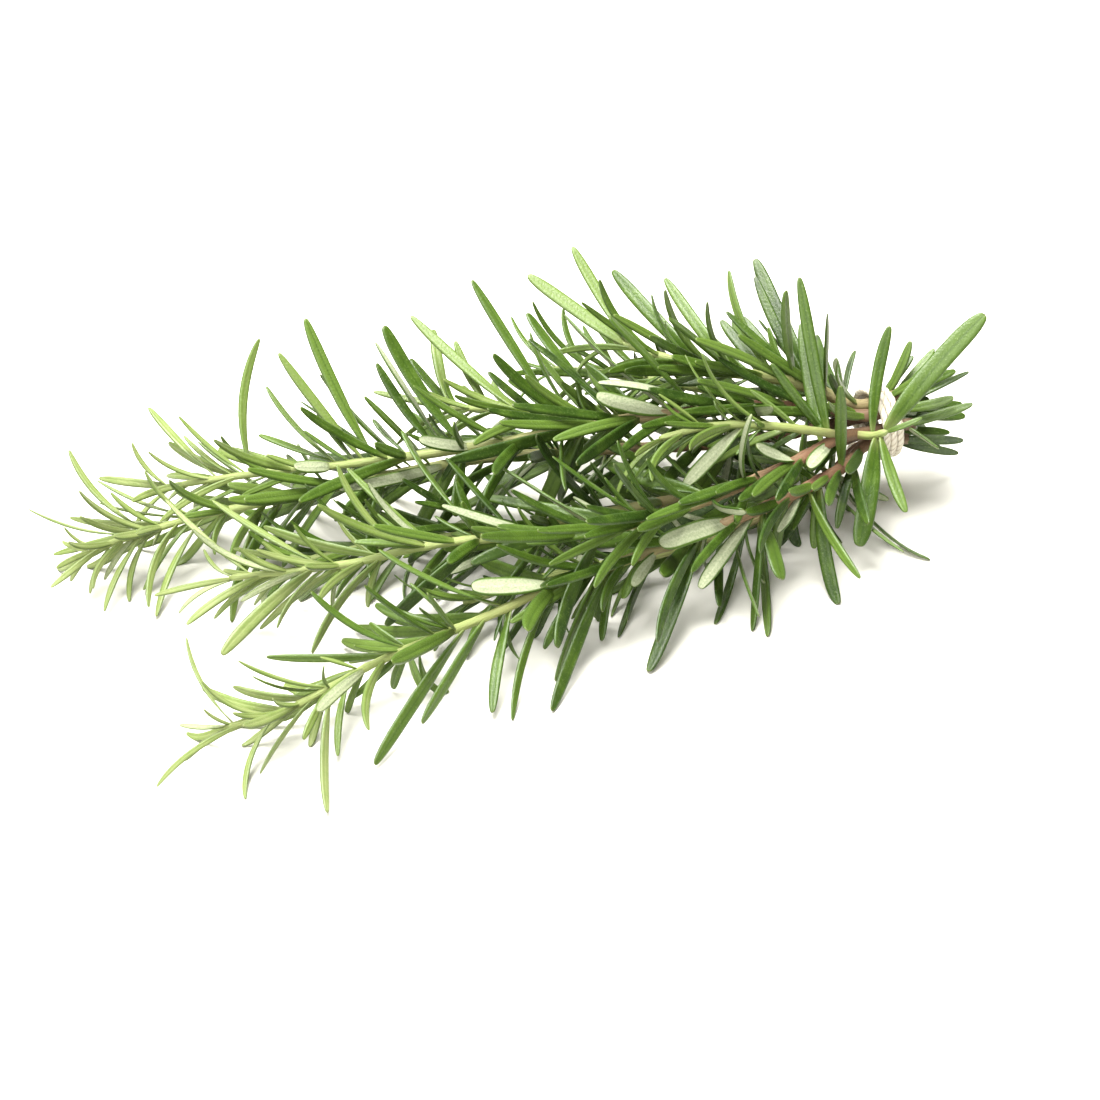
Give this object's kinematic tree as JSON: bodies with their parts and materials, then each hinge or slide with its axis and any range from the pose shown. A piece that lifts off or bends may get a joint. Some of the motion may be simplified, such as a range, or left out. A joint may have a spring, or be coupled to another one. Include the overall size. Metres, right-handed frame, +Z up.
{
  "type": "tied rosemary sprigs",
  "caption": "Bunch of cut rosemary sprigs with needle leaves and side shoots, tied near the cut ends with cotton twine and lying on its front leaves",
  "frame": {"origin": "middle of the bounding box's bottom, on the surface the bunch lies on", "axes": "+X runs along the bunch to the cut ends, the tips point to -X, +Z up, so -Y is the side nearer the viewer of the picture"},
  "size_m": [0.1906, 0.1144, 0.0494],
  "materials": {
    "sprig_upper": "green leaves, slightly waxy above and felted grey-green below, on brown woody stems",
    "sprig_far_left": "green leaves, slightly waxy above and felted grey-green below, on brown woody stems",
    "sprig_middle": "green leaves, slightly waxy above and felted grey-green below, on brown woody stems",
    "sprig_lowest": "green leaves, slightly waxy above and felted grey-green below, on brown woody stems",
    "sprig_back_top": "green leaves, slightly waxy above and felted grey-green below, on brown woody stems",
    "sprig_back_low": "green leaves, slightly waxy above and felted grey-green below, on brown woody stems",
    "sprig_under_back": "green leaves, slightly waxy above and felted grey-green below, on brown woody stems",
    "sprig_under_front": "green leaves, slightly waxy above and felted grey-green below, on brown woody stems",
    "twine_tie": "raw cream cotton twine, matt"
  },
  "bodies": {
    "root": {"sprig_upper": "sprig_upper", "sprig_far_left": "sprig_far_left", "sprig_middle": "sprig_middle", "sprig_lowest": "sprig_lowest", "sprig_back_top": "sprig_back_top", "sprig_back_low": "sprig_back_low", "sprig_under_back": "sprig_under_back", "sprig_under_front": "sprig_under_front", "twine_tie": "twine_tie"}
  },
  "joints": []
}
